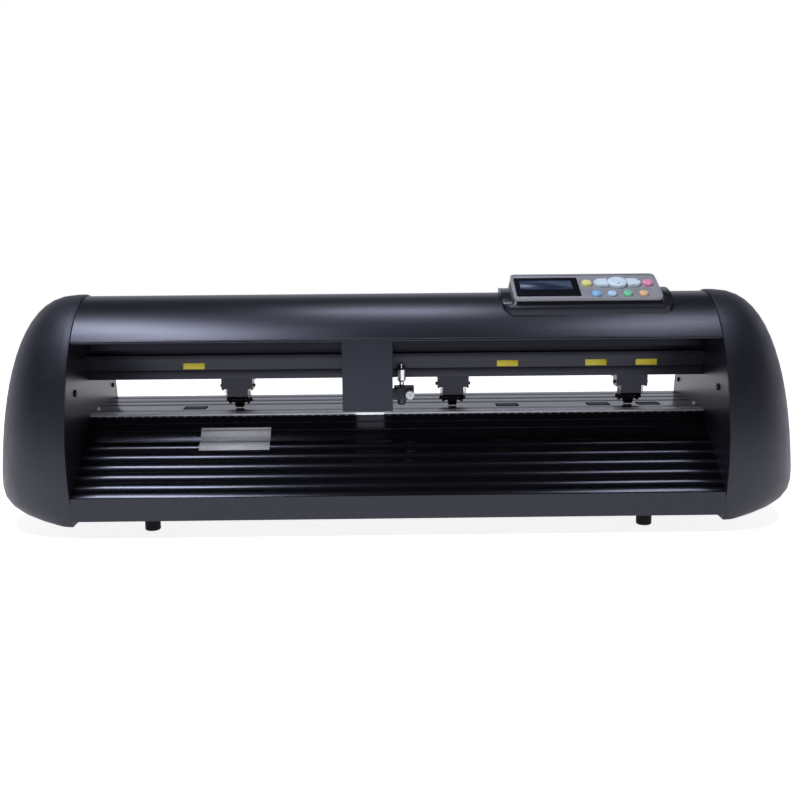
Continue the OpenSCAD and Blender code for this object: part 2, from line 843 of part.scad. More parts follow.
module power_inlet() {
    body_z = [inlet_z - 11.6, inlet_z + 11.6];
    color([0.07, 0.07, 0.08])
        difference() {
            union() {
                span([inlet_x - 27.6, 88, body_z[0]], [inlet_x + 27.6, 112.5 + EPS, body_z[1]]);
                span([inlet_x - 30, 112.5, inlet_z - 13.5], [inlet_x + 30, 114.5, inlet_z + 13.5]);
            }
            // well of the plug socket
            span([inlet_x - 2, 96, inlet_z - 8.3], [inlet_x + 22.5, 116, inlet_z + 8.3]);
            // well of the rocker
            span([inlet_x - 24.5, 100, inlet_z - 7], [inlet_x - 6.5, 116, inlet_z + 7]);
        }
    color([0.8, 0.75, 0.5])
        for (pin = [[3, -2], [10.25, 2.5], [17.5, -2]])
            span([inlet_x + pin[0] - 1, 95.5, inlet_z + pin[1] - 2],
                 [inlet_x + pin[0] + 1, 111, inlet_z + pin[1] + 2]);
}

module power_rocker() {
    color([0.12, 0.12, 0.13])
        union() {
            translate([rocker_pivot[0], rocker_pivot[1], inlet_z - 6.2])
                rotate([0, 0, rocker_tilt])
                    linear_extrude(12.4)
                        polygon([[-7.4, 1], [-7.6, 4.6], [0, 3.4], [7.6, 4.6], [7.4, 1], [3, -4], [-3, -4]]);
            rod_z(inlet_z - 6.8, inlet_z + 6.8, rocker_pivot[0], rocker_pivot[1], 1.5);
        }
}

// ---------- Control panel ----------

// Places its children on the panel's tilted face, at (x, y) from the face's centre
module on_face(x = 0, y = 0) {
    translate(panel_mid)
        rotate([panel_tilt, 0, 0])
            translate([x, y, 0])
                children();
}

// A rounded plate centred on the face, between two heights
module face_plate(w, h, z0, z1, r) {
    round_box([-w / 2, -h / 2, z0], [w / 2, h / 2, z1], r);
}

// Everything under the arch of the top cover, moved outwards by lift
module under_arch(lift) {
    ys = [for (i = [0:44]) lip_y * (i / 22 - 1)];
    along_x(panel_x - 110, panel_x + 110)
        polygon(concat([for (y = ys) [y, arch_z(y, cover_inset - lift)]],
                       [[lip_y, 180], [-lip_y, 180]]));
}

module panel_base() {
    front = -53.3;
    front_z = 247.5;
    flange = [196, 75];
    color([0.16, 0.16, 0.19])
        difference() {
            union() {
                intersection() {
                    round_box([panel_x - flange[0] / 2, front, 225],
                              [panel_x + flange[0] / 2, front + flange[1], 275], 15);
                    union() {
                        under_arch(5);
                        // the front of the flange rises parallel to the face
                        along_x(panel_x - 110, panel_x + 110)
                            polygon([[front - 1, 180], [front - 1, front_z - 0.47],
                                     [front + 10.3, front_z + 4.8], [front + 10.3, 180]]);
                    }
                }
                hull() {
                    round_box([panel_x - 90, front + 5, 246], [panel_x + 90, front + 65, 250], 10);
                    on_face() face_plate(bezel_w, bezel_h, -4, -3, 6);
                }
            }
            under_arch(0);
            on_face() face_plate(bezel_w - 5, bezel_h - 4, -17, 1, 4);
        }
}

module key_hole(r) {
    translate([0, 0, -6]) cylinder(h = 10, r = r + free_gap, $fn = 48);
}

// The long bar of the two side keys, grown all round, between two heights
module key_bar(grow, z0, z1) {
    size = [bar_size[0] + 2 * grow, bar_size[1] + 2 * grow];
    face_plate(size[0], size[1], z0, z1, size[1] / 2 - 0.05);
}

module panel_bezel() {
    color([0.42, 0.43, 0.47])
        on_face()
            difference() {
                union() {
                    face_plate(bezel_w, bezel_h, -3, 0, 6);
                    // low rim round the face
                    difference() {
                        face_plate(bezel_w, bezel_h, -EPS, 0.8, 6);
                        face_plate(bezel_w - 4.4, bezel_h - 4.4, -1, 2, 4);
                    }
                    for (x = [-3.2, 79])
                        for (y = [-22.4, 22.4])
                            translate([x, y, board_z + 1.4])
                                cylinder(h = -board_z - 4.4 + EPS, r = 2.5, $fn = 24);
                }
                translate([lcd_x, lcd_y, 0])
                    face_plate(lcd_size[0], lcd_size[1], -4, 3, 2);
                for (spot = key_spots)
                    translate([spot[0], spot[1], 0]) key_hole(spot[2]);
                translate([pad_x, pad_y, 0]) {
                    key_hole(pad_r);
                    key_bar(free_gap, -6, 4);
                }
            }
}

module lcd_window() {
    color([0.04, 0.05, 0.12])
        on_face(lcd_x, lcd_y)
            face_plate(lcd_size[0], lcd_size[1], -2.6, -0.4, 2);
}

module keypad_board() {
    color([0.05, 0.3, 0.15])
        on_face()
            union() {
                face_plate(bezel_w - 10, 46, board_z, board_z + 1.4, 2);
                translate([lcd_x, lcd_y, 0])
                    face_plate(lcd_size[0] - 4, lcd_size[1] - 6, board_z + 1.4 - EPS, -2.6, 1);
                // the switches under the keys
                for (spot = key_spots)
                    translate([spot[0] - 2.5, spot[1] - 2.5, board_z + 1.4 - EPS]) cube([5, 5, 1]);
                for (dx = [-bar_stem_x, 0, bar_stem_x])
                    translate([pad_x + dx - 2.5, pad_y - 2.5, board_z + 1.4 - EPS]) cube([5, 5, 1]);
            }
}

// A domed round key whose collar stays behind the bezel
module round_key(x, y, r, proud) {
    on_face(x, y)
        rotate_extrude($fn = 48)
            polygon([[0, -5.4], [1.5, -5.4], [1.5, -4.4], [r + 1, -4.4], [r + 1, -3.4], [r, -3.4],
                     [r, proud - 1.4], [r * 0.93, proud - 0.7], [r * 0.78, proud - 0.25],
                     [r * 0.5, proud], [0, proud]]);
}

// The half of the bar on side s, which ends square beside the round pad
module side_key(s) {
    on_face(pad_x, pad_y)
        intersection() {
            union() {
                key_bar(0.7, -4.4, -3.4 + EPS);
                key_bar(0, -3.4, key_proud - 0.8);
                key_bar(-0.8, key_proud - 0.8 - EPS, key_proud - 0.1);
                translate([s * bar_stem_x, 0, -5.4]) cylinder(h = 2, r = 1.5, $fn = 24);
            }
            translate([s * (pad_r + free_gap + 20) - 20, -20, -8]) cube([40, 40, 16]);
        }
}

// The round pad between the bar's halves: its collar is cut flat where it would pass under them
module centre_key() {
    intersection() {
        round_key(pad_x, pad_y, pad_r, key_proud + 1);
        on_face(pad_x, pad_y)
            translate([-pad_r - 0.05, -20, -8]) cube([2 * pad_r + 0.1, 40, 16]);
    }
}

module small_key(i) {
    round_key(key_spots[i][0], key_spots[i][1], key_spots[i][2], key_proud);
}

module key_yellow() { color([0.85, 0.7, 0.15]) small_key(0); }
module key_pink() { color([0.85, 0.35, 0.5]) small_key(1); }
module key_blue() { color([0.3, 0.5, 0.8]) small_key(2); }
module key_sky() { color([0.55, 0.7, 0.85]) small_key(3); }
module key_green() { color([0.25, 0.65, 0.35]) small_key(4); }
module key_orange() { color([0.9, 0.5, 0.2]) small_key(5); }
module key_left() { color([0.7, 0.75, 0.85]) side_key(-1); }
module key_right() { color([0.7, 0.75, 0.85]) side_key(1); }
module key_centre() { color([0.75, 0.8, 0.88]) centre_key(); }

left_end_cap();
right_end_cap();
left_side_plate();
right_side_plate();
top_cover();
beam();
linear_rail();
platen();
cutting_strip();
front_apron();
rear_panel();
base_tray();
rubber_feet();
machine_screws();
shaft_bearings();
feed_motor();
carriage_motor();
idler_bracket();
feed_belt();
carriage_belt();
mainboard();
power_supply();
power_inlet();
power_rocker();
panel_base();
panel_bezel();
lcd_window();
keypad_board();
grit_shaft();
grit_rollers();
feed_pulley();
feed_motor_pulley();
carriage_motor_pulley();
idler_pulley();
carriage_plate();
carriage_cover();
rail_block();
lift_solenoid();
tool_holder();
blade_holder();
blade();
clamp_knob();
pinch_bracket_1();
pinch_arm_1();
pinch_roller_1();
pinch_bracket_2();
pinch_arm_2();
pinch_roller_2();
pinch_bracket_3();
pinch_arm_3();
pinch_roller_3();
key_yellow();
key_left();
key_centre();
key_right();
key_pink();
key_blue();
key_sky();
key_green();
key_orange();
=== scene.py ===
"""Looks of the desktop vinyl cutter around its CAD frame: materials, detail pieces, light and camera."""

import json
import math
import bmesh
import bpy
from mathutils import Matrix, Vector


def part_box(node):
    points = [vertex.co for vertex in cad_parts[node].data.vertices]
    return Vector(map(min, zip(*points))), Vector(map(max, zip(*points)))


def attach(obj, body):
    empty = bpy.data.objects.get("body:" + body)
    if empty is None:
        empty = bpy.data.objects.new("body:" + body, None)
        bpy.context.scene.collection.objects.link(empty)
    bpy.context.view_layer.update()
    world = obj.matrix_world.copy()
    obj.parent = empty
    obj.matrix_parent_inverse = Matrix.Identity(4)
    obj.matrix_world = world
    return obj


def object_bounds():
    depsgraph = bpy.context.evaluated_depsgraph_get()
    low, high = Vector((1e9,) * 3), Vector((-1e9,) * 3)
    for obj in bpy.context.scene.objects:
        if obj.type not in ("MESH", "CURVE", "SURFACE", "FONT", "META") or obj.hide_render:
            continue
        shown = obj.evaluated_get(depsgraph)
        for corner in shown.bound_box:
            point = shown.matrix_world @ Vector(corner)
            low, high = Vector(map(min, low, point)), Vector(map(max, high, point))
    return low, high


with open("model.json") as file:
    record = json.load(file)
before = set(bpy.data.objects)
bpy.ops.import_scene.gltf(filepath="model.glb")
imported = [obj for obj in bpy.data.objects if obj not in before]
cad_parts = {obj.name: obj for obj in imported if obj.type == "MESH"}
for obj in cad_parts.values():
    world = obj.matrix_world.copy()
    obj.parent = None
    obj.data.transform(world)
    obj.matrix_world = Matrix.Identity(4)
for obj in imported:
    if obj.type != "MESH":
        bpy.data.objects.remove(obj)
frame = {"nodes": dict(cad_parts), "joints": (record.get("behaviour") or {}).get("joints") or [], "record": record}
cad_low, cad_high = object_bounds()
NODES = frame["nodes"]
MM = 0.001


# ---------- Material building blocks ----------

def add_node(tree, kind, **values):
    """A node of a kind, with its named inputs or properties set."""
    node = tree.nodes.new(kind)
    for key, value in values.items():
        if hasattr(node, key):
            setattr(node, key, value)
        else:
            node.inputs[key.replace("_", " ")].default_value = value
    return node


def surface(name, colour, roughness, metallic=0.0, coat=0.0, specular=0.5, anisotropic=0.0):
    """A material with a Principled shader and object coordinates in millimetres."""
    mat = bpy.data.materials.new(name)
    mat.use_nodes = True
    tree = mat.node_tree
    shader = tree.nodes["Principled BSDF"]
    shader.inputs["Base Color"].default_value = (*colour, 1)
    shader.inputs["Roughness"].default_value = roughness
    shader.inputs["Metallic"].default_value = metallic
    shader.inputs["Coat Weight"].default_value = coat
    shader.inputs["Coat Roughness"].default_value = 0.08
    shader.inputs["Specular IOR Level"].default_value = specular
    shader.inputs["Anisotropic"].default_value = anisotropic
    if not metallic and max(colour) < 0.1:
        shader.inputs["Specular Tint"].default_value = (0.84, 0.85, 1.0, 1)
    coords = tree.nodes.new("ShaderNodeTexCoord")
    in_mm = add_node(tree, "ShaderNodeMapping")
    in_mm.inputs["Scale"].default_value = (1000, 1000, 1000)
    tree.links.new(coords.outputs["Object"], in_mm.inputs["Vector"])
    mat.diffuse_color = (*colour, 1)
    return mat, tree, shader, in_mm.outputs["Vector"]


def stretched(tree, vector, scale):
    """The coordinates scaled by axis, so that a pattern is drawn out along one of them."""
    node = add_node(tree, "ShaderNodeMapping")
    node.inputs["Scale"].default_value = scale
    tree.links.new(vector, node.inputs["Vector"])
    return node.outputs["Vector"]


def noise(tree, vector, size_mm, detail=3.0, rough=0.55):
    """A 0..1 pattern of soft patches, about size_mm across."""
    node = add_node(tree, "ShaderNodeTexNoise", Detail=detail, Roughness=rough)
    node.inputs["Scale"].default_value = 1 / size_mm
    tree.links.new(vector, node.inputs["Vector"])
    return node.outputs["Fac"]


def ramp(tree, value, low, high):
    """Maps 0..1 to low..high, which are numbers."""
    node = add_node(tree, "ShaderNodeMapRange")
    node.inputs["From Min"].default_value = 0.3
    node.inputs["From Max"].default_value = 0.7
    node.inputs["To Min"].default_value = low
    node.inputs["To Max"].default_value = high
    tree.links.new(value, node.inputs["Value"])
    return node.outputs["Result"]


def vary_colour(tree, shader, value, low, high):
    """Base colour between two colours, by a 0..1 pattern."""
    node = tree.nodes.new("ShaderNodeMix")
    node.data_type = "RGBA"
    node.inputs["A"].default_value = (*low, 1)
    node.inputs["B"].default_value = (*high, 1)
    tree.links.new(ramp(tree, value, 0, 1), node.inputs["Factor"])
    tree.links.new(node.outputs["Result"], shader.inputs["Base Color"])
    return node


def bump(tree, shader, height, depth_mm, previous=None):
    """Relief of a depth from a 0..1 pattern, added to a previous relief if there is one."""
    node = add_node(tree, "ShaderNodeBump", Strength=1.0)
    node.inputs["Distance"].default_value = depth_mm * MM
    tree.links.new(height, node.inputs["Height"])
    if previous is not None:
        tree.links.new(previous, node.inputs["Normal"])
    tree.links.new(node.outputs["Normal"], shader.inputs["Normal"])
    return node.outputs["Normal"]


def shade(colour, factor):
    """The colour made lighter or darker."""
    return tuple(min(1.0, c * factor) for c in colour)


# ---------- Materials ----------

def moulded(name, colour, roughness, grain_mm, depth_mm):
    """Injection-moulded plastic with a fine spark-eroded grain."""
    mat, tree, shader, mm = surface(name, colour, roughness)
    vary_colour(tree, shader, noise(tree, mm, 60), shade(colour, 0.85), shade(colour, 1.15))
    tree.links.new(ramp(tree, noise(tree, mm, 25), roughness - 0.04, roughness + 0.05),
                   shader.inputs["Roughness"])
    coarse = bump(tree, shader, noise(tree, mm, grain_mm, 4), depth_mm)
    bump(tree, shader, noise(tree, mm, grain_mm * 0.3, 2), depth_mm * 0.3, previous=coarse)
    return mat


def extruded(name, colour, roughness, depth_mm=0.012):
    """Anodised extrusion: fine die lines along X and a slight cloudiness."""
    mat, tree, shader, mm = surface(name, colour, roughness)
    vary_colour(tree, shader, noise(tree, stretched(tree, mm, (0.1, 1, 1)), 30),
                shade(colour, 0.9), shade(colour, 1.12))
    lines = noise(tree, stretched(tree, mm, (0.004, 1, 1)), 0.7, 5, 0.7)
    tree.links.new(ramp(tree, lines, roughness - 0.03, roughness + 0.06), shader.inputs["Roughness"])
    bump(tree, shader, lines, depth_mm)
    return mat


def painted(name, colour, roughness, depth_mm=0.02):
    """Powder coat with its orange-peel surface."""
    mat, tree, shader, mm = surface(name, colour, roughness)
    vary_colour(tree, shader, noise(tree, mm, 40), shade(colour, 0.9), shade(colour, 1.1))
    bump(tree, shader, noise(tree, mm, 1.2, 2), depth_mm)
    return mat


def metal(name, colour, roughness, along=(0.02, 1, 1), depth_mm=0.004):
    """Bare metal with tool or roll marks drawn out along one axis."""
    mat, tree, shader, mm = surface(name, colour, roughness, metallic=1.0)
    marks = noise(tree, stretched(tree, mm, along), 0.5, 4, 0.7)
    vary_colour(tree, shader, marks, shade(colour, 0.9), shade(colour, 1.05))
    tree.links.new(ramp(tree, noise(tree, mm, 6), roughness - 0.04, roughness + 0.06),
                   shader.inputs["Roughness"])
    bump(tree, shader, marks, depth_mm)
    return mat


def rubber(name, colour):
    """Dull rubber with a fine tooth."""
    mat, tree, shader, mm = surface(name, colour, 0.7, specular=0.2)
    vary_colour(tree, shader, noise(tree, mm, 5), shade(colour, 0.8), shade(colour, 1.3))
    bump(tree, shader, noise(tree, mm, 0.5, 3), 0.05)
    return mat


def key_plastic(name, colour):
    """Smooth coloured key with a faint moulding cloud."""
    mat, tree, shader, mm = surface(name, colour, 0.3, coat=0.2)
    vary_colour(tree, shader, noise(tree, mm, 8), shade(colour, 0.93), shade(colour, 1.05))
    bump(tree, shader, noise(tree, mm, 0.8, 2), 0.01)
    return mat


def above_height(tree, mm, edge_mm):
    """1 where the surface lies higher than the edge, else 0."""
    split = tree.nodes.new("ShaderNodeSeparateXYZ")
    tree.links.new(mm, split.inputs[0])
    above = add_node(tree, "ShaderNodeMath", operation="GREATER_THAN")
    above.inputs[1].default_value = edge_mm
    tree.links.new(split.outputs["Z"], above.inputs[0])
    return above.outputs[0]


def circuit(name, edge_mm=1e6):
    """Green solder mask with tracks showing through; bare metal cans above the edge height."""
    mat, tree, shader, mm = surface(name, (0.01, 0.11, 0.04), 0.35, coat=0.3)
    node = add_node(tree, "ShaderNodeTexBrick")
    node.inputs["Scale"].default_value = 0.35
    tree.links.new(mm, node.inputs["Vector"])
    mask = vary_colour(tree, shader, node.outputs["Fac"], (0.01, 0.1, 0.04), (0.03, 0.2, 0.08))
    above = above_height(tree, mm, edge_mm)
    either = tree.nodes.new("ShaderNodeMix")
    either.data_type = "RGBA"
    either.inputs["B"].default_value = (0.5, 0.5, 0.52, 1)
    tree.links.new(above, either.inputs["Factor"])
    tree.links.new(mask.outputs["Result"], either.inputs["A"])
    tree.links.new(either.outputs["Result"], shader.inputs["Base Color"])
    tree.links.new(above, shader.inputs["Metallic"])
    bump(tree, shader, node.outputs["Fac"], 0.03)
    return mat


def knurled_steel(name, colour):
    """Steel with the sharp grain that grips the media."""
    mat, tree, shader, mm = surface(name, colour, 0.4, metallic=1.0)
    grit = add_node(tree, "ShaderNodeTexVoronoi")
    grit.inputs["Scale"].default_value = 1 / 0.9
    tree.links.new(mm, grit.inputs["Vector"])
    vary_colour(tree, shader, grit.outputs["Distance"], shade(colour, 1.1), shade(colour, 0.7))
    bump(tree, shader, grit.outputs["Distance"], -0.12)
    return mat


def two_tone(name, bright, dark):
    """Bright turned body whose lower end has a black sleeve."""
    mat, tree, shader, mm = surface(name, bright, 0.2)
    above = above_height(tree, mm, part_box("clamp_knob")[1].z * 1000 + 2)
    tree.links.new(above, shader.inputs["Metallic"])
    marks = noise(tree, stretched(tree, mm, (1, 1, 0.1)), 0.6, 3)
    worn = tree.nodes.new("ShaderNodeMix")
    worn.data_type = "RGBA"
    worn.inputs["A"].default_value = (*dark, 1)
    worn.inputs["B"].default_value = (*bright, 1)
    tree.links.new(above, worn.inputs["Factor"])
    tree.links.new(worn.outputs["Result"], shader.inputs["Base Color"])
    tree.links.new(ramp(tree, marks, 0.15, 0.28), shader.inputs["Roughness"])
    bump(tree, shader, marks, 0.004)
    return mat


SLOT_MATERIAL = {
    "cap_plastic": lambda: moulded("cap_plastic", (0.011, 0.011, 0.015), 0.46, 0.9, 0.035),
    "black_anodised": lambda: extruded("black_anodised", (0.0035, 0.0035, 0.005), 0.2, 0.0006),
    "plate_paint": lambda: painted("plate_paint", (0.007, 0.007, 0.009), 0.34),
    "platen_grey": lambda: extruded("platen_grey", (0.022, 0.022, 0.028), 0.26, 0.001),
    "strip_white": lambda: moulded("strip_white", (0.82, 0.82, 0.86), 0.35, 1.5, 0.01),
    "rubber_black": lambda: rubber("rubber_black", (0.006, 0.006, 0.007)),
    "bright_steel": lambda: metal("bright_steel", (0.62, 0.62, 0.65), 0.25),
    "dark_steel": lambda: metal("dark_steel", (0.09, 0.09, 0.1), 0.3),
    "motor_black": lambda: painted("motor_black", (0.012, 0.012, 0.014), 0.4),
    "pulley_alu": lambda: metal("pulley_alu", (0.7, 0.71, 0.74), 0.3, (1, 1, 1)),
    "pcb": lambda: circuit("pcb"),
    "zinc_sheet": lambda: metal("zinc_sheet", (0.6, 0.61, 0.63), 0.35, (1, 0.2, 1)),
    "inlet_plastic": lambda: moulded("inlet_plastic", (0.012, 0.012, 0.013), 0.35, 0.8, 0.02),
    "panel_dark": lambda: moulded("panel_dark", (0.008, 0.008, 0.011), 0.3, 0.6, 0.008),
    "panel_grey": lambda: moulded("panel_grey", (0.33, 0.325, 0.345), 0.34, 0.4, 0.006),
    "lcd_glass": lambda: painted("lcd_glass", (0.003, 0.003, 0.006), 0.22, 0.001),
    "bare_alu": lambda: metal("bare_alu", (0.85, 0.86, 0.88), 0.4, (1, 1, 1)),
    "cover_black": lambda: painted("cover_black", (0.02, 0.022, 0.033), 0.45, 0.006),
    "block_black": lambda: painted("block_black", (0.01, 0.01, 0.012), 0.4, 0.01),
    "holder_chrome": lambda: metal("holder_chrome", (0.85, 0.85, 0.87), 0.12, (1, 1, 0.1)),
    "coil_brown": lambda: metal("coil_brown", (0.5, 0.47, 0.42), 0.4),
    "knob_white": lambda: key_plastic("knob_white", (0.95, 0.95, 0.95)),
    "pinch_black": lambda: painted("pinch_black", (0.008, 0.008, 0.01), 0.34),
    "key_yellow": lambda: key_plastic("key_yellow", (0.93, 0.85, 0.28)),
    "key_pink": lambda: key_plastic("key_pink", (0.92, 0.3, 0.5)),
    "key_blue": lambda: key_plastic("key_blue", (0.27, 0.58, 0.88)),
    "key_sky": lambda: key_plastic("key_sky", (0.55, 0.75, 0.95)),
    "key_green": lambda: key_plastic("key_green", (0.2, 0.7, 0.38)),
    "key_orange": lambda: key_plastic("key_orange", (0.93, 0.55, 0.3)),
    "key_grey": lambda: key_plastic("key_grey", (0.76, 0.9, 0.97)),
}
NODE_SLOT = {part["node"]: part["material_slot"] for part in frame["record"]["subparts"]}
MATERIALS = {slot: make() for slot, make in SLOT_MATERIAL.items()}
OWN_MATERIAL = {
    "grit_rollers": knurled_steel("grit_steel", (0.03, 0.03, 0.035)),
    "mainboard": circuit("mainboard_mask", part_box("mainboard")[0].z * 1000 + 6.8),
    "machine_screws": metal("black_screw", (0.02, 0.02, 0.022), 0.35),
    # Rail made near black, darker than the bare steel: painted shade of the recess under the cover's lip
    "linear_rail": metal("rail_painted_shade", (0.02, 0.02, 0.026), 0.3),
    "blade_holder": two_tone("holder_body", (0.8, 0.8, 0.82), (0.012, 0.012, 0.014)),
    "top_cover": extruded("cover_anodised", (0.0065, 0.007, 0.0105), 0.31, 0.0008),
    "beam": extruded("beam_anodised", (0.011, 0.011, 0.016), 0.36, 0.001),
}


def dress(obj, material):
    """Leaves the object with this one material."""
    obj.data.materials.clear()
    obj.data.materials.append(material)


# ---------- Shading of the CAD nodes ----------

def shade_group(angle):
    """Geometry nodes that shade smooth, with edges sharper than the angle left hard."""
    group = bpy.data.node_groups.new("smooth_by_angle", "GeometryNodeTree")
    group.interface.new_socket("Geometry", in_out="INPUT", socket_type="NodeSocketGeometry")
    group.interface.new_socket("Geometry", in_out="OUTPUT", socket_type="NodeSocketGeometry")
    start = group.nodes.new("NodeGroupInput")
    end = group.nodes.new("NodeGroupOutput")
    strip = group.nodes.new("GeometryNodeRemoveAttribute")
    strip.inputs["Name"].default_value = "custom_normal"
    faces = group.nodes.new("GeometryNodeSetShadeSmooth")
    faces.domain = "FACE"
    edges = group.nodes.new("GeometryNodeSetShadeSmooth")
    edges.domain = "EDGE"
    edges.inputs["Shade Smooth"].default_value = False
    edge_angle = group.nodes.new("GeometryNodeInputMeshEdgeAngle")
    sharp = group.nodes.new("FunctionNodeCompare")
    sharp.data_type = "FLOAT"
    sharp.operation = "GREATER_THAN"
    sharp.inputs[1].default_value = angle
    link = group.links.new
    link(start.outputs[0], strip.inputs["Geometry"])
    link(strip.outputs["Geometry"], faces.inputs["Geometry"])
    link(faces.outputs["Geometry"], edges.inputs["Geometry"])
    link(edge_angle.outputs["Unsigned Angle"], sharp.inputs[0])
    link(sharp.outputs["Result"], edges.inputs["Selection"])
    link(edges.outputs["Geometry"], end.inputs[0])
    return group


SMOOTH = shade_group(math.radians(32))


def finish_edges(obj, bevel_mm):
    """Joins split corners, rounds the edges a little and shades the curves smooth."""
    weld = obj.modifiers.new("weld", "WELD")
    weld.merge_threshold = 2e-6
    if bevel_mm:
        bevel = obj.modifiers.new("edges", "BEVEL")
        bevel.width = bevel_mm * MM
        bevel.segments = 2
        bevel.limit_method = "ANGLE"
        bevel.angle_limit = math.radians(40)
    shading = obj.modifiers.new("shading", "NODES")
    shading.node_group = SMOOTH


BEVEL_MM = {"carriage_cover": 0.5, "panel_base": 1.0, "panel_bezel": 0.4, "beam": 0.3, "platen": 0.9,
            "tool_holder": 0.3, "carriage_plate": 0.3, "left_end_cap": 0.5, "right_end_cap": 0.5}
for node_name, node_obj in NODES.items():
    dress(node_obj, OWN_MATERIAL.get(node_name) or MATERIALS[NODE_SLOT[node_name]])
    finish_edges(node_obj, BEVEL_MM.get(node_name, 0))


# ---------- Small detail pieces ----------

def piece(name, mesh, material, body):
    """A named object with its material and the body it rides on."""
    obj = bpy.data.objects.new(name, mesh)
    bpy.context.scene.collection.objects.link(obj)
    dress(obj, material)
    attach(obj, body)


def mesh_of(name, build):
    """A mesh whose geometry build(bm) makes."""
    bm = bmesh.new()
    build(bm)
    bmesh.ops.recalc_face_normals(bm, faces=bm.faces)
    mesh = bpy.data.meshes.new(name)
    bm.to_mesh(mesh)
    bm.free()
    mesh.shade_smooth()
    return mesh


def outline(width, height, radius, corner_steps=6):
    """Points of a rectangle with round corners, centred on the origin."""
    points = []
    for cx, cy, start in ((1, 1, 0), (-1, 1, 90), (-1, -1, 180), (1, -1, 270)):
        for k in range(corner_steps + 1):
            a = math.radians(start + 90 * k / corner_steps)
            points.append((cx * (width / 2 - radius) + radius * math.cos(a),
                           cy * (height / 2 - radius) + radius * math.sin(a)))
    return points


def add_plate(bm, frame_at, points, thickness, edge):
    """A thin plate with a chamfered upper edge: frame_at places (x, y, height) in the world."""
    span_x = max(x for x, _ in points)
    span_y = max(y for _, y in points)
    inner = [(x * (1 - edge / span_x), y * (1 - edge / span_y)) for x, y in points]
    rings = [[bm.verts.new(frame_at @ Vector((x, y, z))) for x, y in loop]
             for loop, z in ((points, 0), (points, thickness - edge), (inner, thickness))]
    count = len(points)
    for low_ring, high_ring in zip(rings, rings[1:]):
        for i in range(count):
            j = (i + 1) % count
            bm.faces.new((low_ring[i], low_ring[j], high_ring[j], high_ring[i]))
    bm.faces.new(rings[-1])
    bm.faces.new(list(reversed(rings[0])))


def add_turned(bm, frame_at, profile, steps=24):
    """A solid of revolution about the local Z axis, from (radius, height) pairs."""
    rings = []
    for radius, z in profile:
        if radius == 0:
            rings.append([bm.verts.new(frame_at @ Vector((0, 0, z)))])
        else:
            rings.append([bm.verts.new(frame_at @ Vector((radius * math.cos(2 * math.pi * k / steps),
                                                         radius * math.sin(2 * math.pi * k / steps), z)))
                          for k in range(steps)])
    for a, b in zip(rings, rings[1:]):
        for k in range(steps):
            m = (k + 1) % steps
            if len(a) == 1:
                bm.faces.new((a[0], b[k], b[m]))
            elif len(b) == 1:
                bm.faces.new((a[k], a[m], b[0]))
            else:
                bm.faces.new((a[k], a[m], b[m], b[k]))


def facing(origin, normal, up=(0, 0, 1)):
    """A frame at origin whose local Z is the normal and whose local Y leans towards up."""
    z = Vector(normal).normalized()
    x = Vector(up).cross(z).normalized()
    y = z.cross(x)
    turn = Matrix((x, y, z)).transposed().to_4x4()
    return Matrix.Translation(Vector(origin)) @ turn


def direction_of(joint_name):
    """Unit vector of a joint's axis at rest."""
    joint = next(j for j in frame["joints"] if j["name"] == joint_name)
    return Vector(joint["axis"]).normalized()


def first_hit(node, start, direction):
    """Where a ray from start first meets the surface of a CAD node."""
    found, place, _, _ = NODES[node].ray_cast(Vector(start), Vector(direction))
    if not found:
        raise RuntimeError("no surface of " + node + " there")
    return place


def printed(name, colour, roughness=0.4, speck=1.2):
    """Ink, film or label stock with a slight mottle."""
    mat, tree, shader, mm = surface(name, colour, roughness)
    vary_colour(tree, shader, noise(tree, mm, speck), shade(colour, 0.92), shade(colour, 1.06))
    bump(tree, shader, noise(tree, mm, speck * 0.5, 2), 0.006)
    return mat


# Stickers on the beam: blank, with a darker printed edge
STICKER_X_MM = (-240, 131, 236, 296)
STICKER_ABOVE_BEAM_FOOT_MM = 15.8
sticker_yellow = printed("sticker_yellow", (0.72, 0.6, 0.03), 0.45)
sticker_edge = printed("sticker_edge", (0.25, 0.22, 0.02), 0.45)


def build_stickers():
    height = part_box("beam")[0].z + STICKER_ABOVE_BEAM_FOOT_MM * MM
    for number, x_mm in enumerate(STICKER_X_MM, 1):
        wall = first_hit("beam", (x_mm * MM, cad_low.y, height), (0, 1, 0))
        at = facing(wall, (0, -1, 0))
        for part, size, depth, mat in (("edge", (26, 8.4), 0.12, sticker_edge),
                                       ("face", (24.6, 7.0), 0.2, sticker_yellow)):
            points = [(px * MM, py * MM) for px, py in outline(*size, 0.5, 3)]
            mesh = mesh_of("sticker", lambda bm: add_plate(bm, at, points, depth * MM, 0.03 * MM))
            piece(f"sticker_{part}_{number}", mesh, mat, "frame")


# Pale lip along the platen's front edge, a white bar that paints the highlight of the rounded edge; under it a
# dark ruler strip with a tick every 10 mm
LIP_RADIUS = 1.25 * MM
STRIP_SIZE_MM = 1.7
TICK_PITCH = 0.01
ruler_black = printed("ruler_black", (0.01, 0.01, 0.012), 0.4)
ruler_white = printed("ruler_white", (0.62, 0.63, 0.66), 0.4)


def add_bar(bm, x0, x1, section):
    """A bar along X between two stations, from its outline in (y, z)."""
    ends = [[bm.verts.new((x, y, z)) for y, z in section] for x in (x0, x1)]
    count = len(section)
    for i in range(count):
        j = (i + 1) % count
        bm.faces.new((ends[0][i], ends[0][j], ends[1][j], ends[1][i]))
    bm.faces.new(ends[0])
    bm.faces.new(list(reversed(ends[1])))


